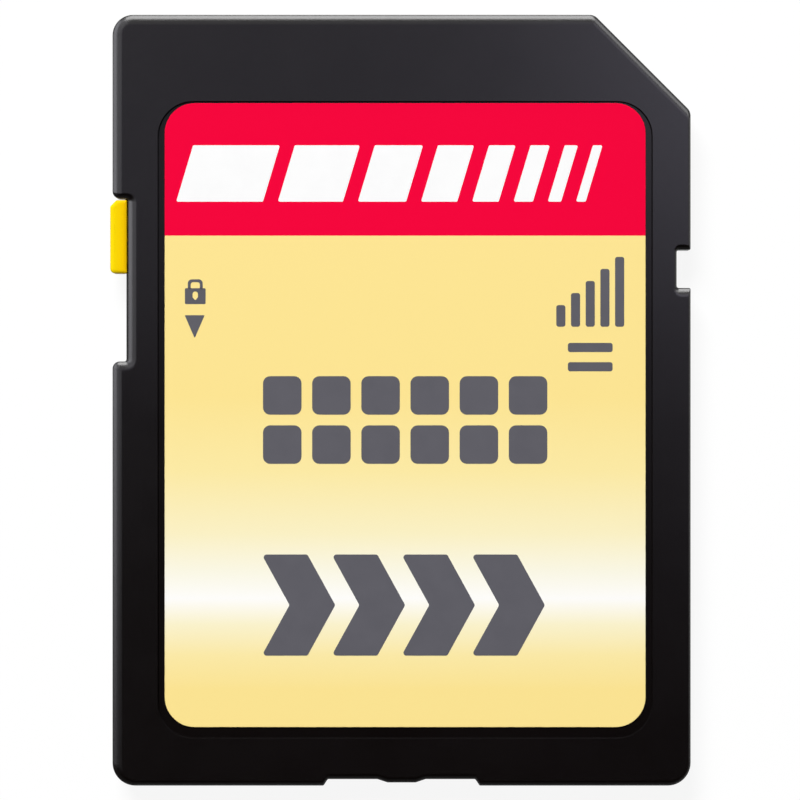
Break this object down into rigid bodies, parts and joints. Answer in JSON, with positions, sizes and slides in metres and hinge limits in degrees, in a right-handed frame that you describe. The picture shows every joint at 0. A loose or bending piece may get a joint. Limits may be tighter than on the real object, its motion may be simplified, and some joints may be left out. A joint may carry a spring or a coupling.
{
  "type": "memory card",
  "caption": "Flat flash memory card with a cut corner, stepped rails, a row of gold contacts on the back, a printed label and a sliding write lock in its edge.",
  "frame": {"origin": "middle of the 24 by 32 mm outline, on the plane that the back panel rests on", "axes": "+Z out of the label face, +Y towards the contact end that goes into a socket first, +X towards the side with the cut corner"},
  "size_m": [0.0241, 0.032, 0.0021],
  "materials": {
    "cover_plastic": "fine-grained moulded black plastic",
    "slider_plastic": "moulded yellow plastic",
    "label_print": "printed label, satin lacquer, red band over pale gold",
    "board_laminate": "green solder mask",
    "contact_gold": "gold plated",
    "chip_epoxy": "moulded epoxy with tinned leads",
    "capacitor_ceramic": "fired ceramic with tinned ends",
    "resistor_ceramic": "glazed ceramic with tinned ends"
  },
  "bodies": {
    "card": {"front_cover": "cover_plastic", "rear_cover": "cover_plastic", "front_label": "label_print", "circuit_board": "board_laminate", "flash_chip": "chip_epoxy", "controller_chip": "chip_epoxy", "contact_pad_1": "contact_gold", "contact_pad_2": "contact_gold", "contact_pad_3": "contact_gold", "contact_pad_4": "contact_gold", "contact_pad_5": "contact_gold", "contact_pad_6": "contact_gold", "contact_pad_7": "contact_gold", "contact_pad_8": "contact_gold", "contact_pad_9": "contact_gold", "capacitor_1": "capacitor_ceramic", "capacitor_2": "capacitor_ceramic", "capacitor_3": "capacitor_ceramic", "capacitor_4": "capacitor_ceramic", "resistor_1": "resistor_ceramic", "resistor_2": "resistor_ceramic", "resistor_3": "resistor_ceramic", "resistor_4": "resistor_ceramic"},
    "lock_slider": {"lock_slider": "slider_plastic"}
  },
  "joints": [
    {"name": "lock_slide", "type": "slide", "parent": "card", "child": "lock_slider", "axis": [0, -1, 0], "range_m": [0, 0.0036]}
  ]
}
